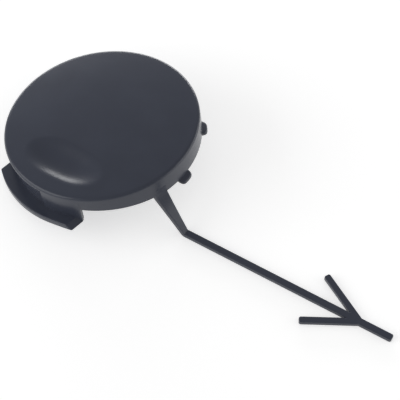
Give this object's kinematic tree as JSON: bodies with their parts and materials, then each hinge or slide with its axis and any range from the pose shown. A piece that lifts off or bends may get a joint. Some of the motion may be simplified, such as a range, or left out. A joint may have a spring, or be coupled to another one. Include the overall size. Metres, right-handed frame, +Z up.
{
  "type": "tow hook cover",
  "caption": "Round domed plastic cap that snaps into a bumper's tow hook opening, with a hook ledge, snap clips, a press mark and a folded strap with an arrow end.",
  "frame": {"origin": "middle of the bounding box on the ground, with the cover lying face up on its strap as in the picture", "axes": "+X along the strap's flat run towards its arrow end, +Z up, +Y to the left of the strap seen from above"},
  "size_m": [0.1722, 0.0798, 0.0281],
  "materials": {
    "primed_plastic": "satin dark slate primer on moulded plastic"
  },
  "bodies": {
    "root": {"tow_hook_cover": "primed_plastic"}
  },
  "joints": []
}
